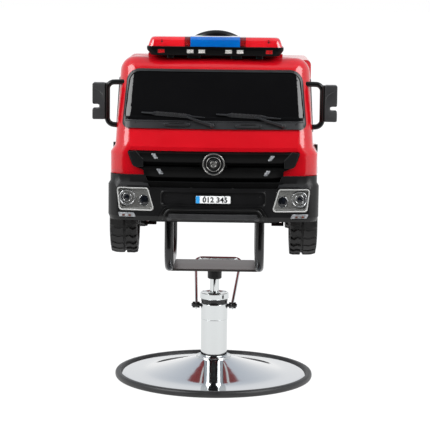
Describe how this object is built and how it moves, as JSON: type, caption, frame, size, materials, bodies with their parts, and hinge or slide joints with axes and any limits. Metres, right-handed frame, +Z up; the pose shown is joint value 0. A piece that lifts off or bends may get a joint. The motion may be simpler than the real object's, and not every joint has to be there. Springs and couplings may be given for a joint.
{
  "type": "kids car barber chair",
  "caption": "Child's hairdressing chair: a red fire-truck ride-on body with seat, doors and steering wheel on a steel under-frame, hydraulic foot pump and round base.",
  "frame": {"origin": "on the floor at the centre of the round base, on the pump's axis", "axes": "+Z up along the pump; the truck's front looks along -Y; +X is to the right as seen from the front"},
  "size_m": [0.79, 1.182, 1.2346],
  "materials": {
    "disc_chrome": "polished",
    "rim_rubber": "satin",
    "pump_chrome": "polished",
    "machined_steel": "machined",
    "cast_iron": "rough",
    "pump_black": "satin",
    "zinc_fastener": "zinc plated",
    "clamp_black": "gloss",
    "frame_black": "satin",
    "plate_steel": "satin",
    "red_plastic": "gloss",
    "black_plastic": "fine grain",
    "gloss_black": "gloss",
    "trim_grey": "satin",
    "clear_lens": "clear",
    "lamp_bowl": "vacuum metallised",
    "badge_silver": "satin",
    "plate_white": "gloss",
    "red_lens": "clear gloss",
    "blue_lens": "clear gloss",
    "seat_leather": "grained",
    "wheel_plastic": "moulded"
  },
  "bodies": {
    "base": {"base_disc": "disc_chrome", "base_rim": "rim_rubber", "base_flange": "pump_chrome", "base_ballast": "cast_iron", "pump_reservoir": "machined_steel", "base_bolts": "zinc_fastener", "pump_shroud": "pump_chrome", "pump_band": "pump_black", "pump_cap": "pump_chrome"},
    "lift": {"piston_rod": "pump_chrome"},
    "lever": {"foot_lever": "pump_chrome", "lever_clamps": "clamp_black", "lever_bolts": "zinc_fastener"},
    "car": {"taper_sleeve": "pump_black", "seat_plate": "plate_steel", "frame_loop_right": "frame_black", "frame_loop_left": "frame_black", "frame_crossbars": "frame_black", "frame_bolts": "zinc_fastener", "chassis_pan": "red_plastic", "cab_shell": "red_plastic", "hinge_pins": "black_plastic", "rear_body": "red_plastic", "tail_lamps": "red_lens", "windscreen_frame": "trim_grey", "windscreen_panel": "gloss_black", "wiper_left": "black_plastic", "wiper_right": "black_plastic", "side_windows": "gloss_black", "grille": "black_plastic", "emblem_rings": "badge_silver", "bumper": "black_plastic", "lamp_lenses": "clear_lens", "lamp_housings": "lamp_bowl", "bumper_guard": "black_plastic", "number_plate": "plate_white", "mirror_right": "black_plastic", "mirror_left": "black_plastic", "lightbar_base": "black_plastic", "red_lenses": "red_lens", "blue_lens": "blue_lens", "dashboard": "black_plastic", "seat_shell": "black_plastic", "seat_pad": "seat_leather", "back_pad": "seat_leather", "front_axle": "frame_black", "rear_axle": "machined_steel"},
    "door_right": {"door_right": "red_plastic"},
    "door_left": {"door_left": "red_plastic"},
    "steering": {"steering_wheel": "gloss_black", "steering_column": "machined_steel"},
    "horn": {"horn_button": "red_plastic"},
    "pedal": {"pedal": "black_plastic"},
    "knuckle_right": {"knuckle_right": "machined_steel"},
    "knuckle_left": {"knuckle_left": "machined_steel"},
    "tie_rod": {"tie_rod": "frame_black"},
    "wheel_front_right": {"wheel_front_right": "wheel_plastic"},
    "wheel_front_left": {"wheel_front_left": "wheel_plastic"},
    "wheel_rear_right": {"wheel_rear_right": "wheel_plastic"},
    "wheel_rear_left": {"wheel_rear_left": "wheel_plastic"}
  },
  "joints": [
    {"name": "lift", "type": "slide", "parent": "base", "child": "lift", "axis": [0, 0, 1], "range_m": [0, 0.15]},
    {"name": "swivel", "type": "hinge", "parent": "lift", "child": "car", "pos_m": [0, 0, 0.38], "axis": [0, 0, 1], "continuous": true},
    {"name": "foot_lever", "type": "hinge", "parent": "base", "child": "lever", "pos_m": [0, 0, 0.256], "axis": [-0.9995, 0.0314, 0], "range_deg": [0, 20], "stiffness_Nm_per_rad": 6, "springref_deg": -28.65},
    {"name": "door_right", "type": "hinge", "parent": "car", "child": "door_right", "pos_m": [0.342, -0.1765, 0.8], "axis": [0, 0, -1], "range_deg": [0, 60]},
    {"name": "door_left", "type": "hinge", "parent": "car", "child": "door_left", "pos_m": [-0.342, -0.1765, 0.8], "axis": [0, 0, 1], "range_deg": [0, 60]},
    {"name": "steering", "type": "hinge", "parent": "car", "child": "steering", "pos_m": [0, -0.149, 1.128], "axis": [0, 0.8192, 0.5736], "range_deg": [-45, 45]},
    {"name": "horn", "type": "slide", "parent": "steering", "child": "horn", "axis": [0, -0.8192, -0.5736], "range_m": [0, 0.004], "stiffness_N_per_m": 400, "springref_m": -0.002},
    {"name": "pedal", "type": "hinge", "parent": "car", "child": "pedal", "pos_m": [0.084, -0.352, 0.662], "axis": [1, 0, 0], "range_deg": [0, 15], "stiffness_Nm_per_rad": 0.8, "springref_deg": -17.19},
    {"name": "knuckle_right", "type": "hinge", "parent": "car", "child": "knuckle_right", "pos_m": [0.205, -0.34, 0.613], "axis": [0, 0, 1], "range_deg": [-15, 15]},
    {"name": "knuckle_left", "type": "hinge", "parent": "car", "child": "knuckle_left", "pos_m": [-0.205, -0.34, 0.613], "axis": [0, 0, 1], "range_deg": [-15, 15]},
    {"name": "tie_rod", "type": "slide", "parent": "car", "child": "tie_rod", "axis": [1, 0, 0], "range_m": [-0.0131, 0.0131]},
    {"name": "wheel_front_right", "type": "hinge", "parent": "knuckle_right", "child": "wheel_front_right", "pos_m": [0.29, -0.34, 0.613], "axis": [1, 0, 0], "continuous": true},
    {"name": "wheel_front_left", "type": "hinge", "parent": "knuckle_left", "child": "wheel_front_left", "pos_m": [-0.29, -0.34, 0.613], "axis": [1, 0, 0], "continuous": true},
    {"name": "wheel_rear_right", "type": "hinge", "parent": "car", "child": "wheel_rear_right", "pos_m": [0.29, 0.285, 0.613], "axis": [1, 0, 0], "continuous": true},
    {"name": "wheel_rear_left", "type": "hinge", "parent": "car", "child": "wheel_rear_left", "pos_m": [-0.29, 0.285, 0.613], "axis": [1, 0, 0], "continuous": true}
  ],
  "couplings": [
    {"joint": "knuckle_right", "follows": "steering", "ratio": 0.33333},
    {"joint": "knuckle_left", "follows": "steering", "ratio": 0.33333},
    {"joint": "tie_rod", "follows": "steering", "m_per_rad": -0.016667}
  ]
}
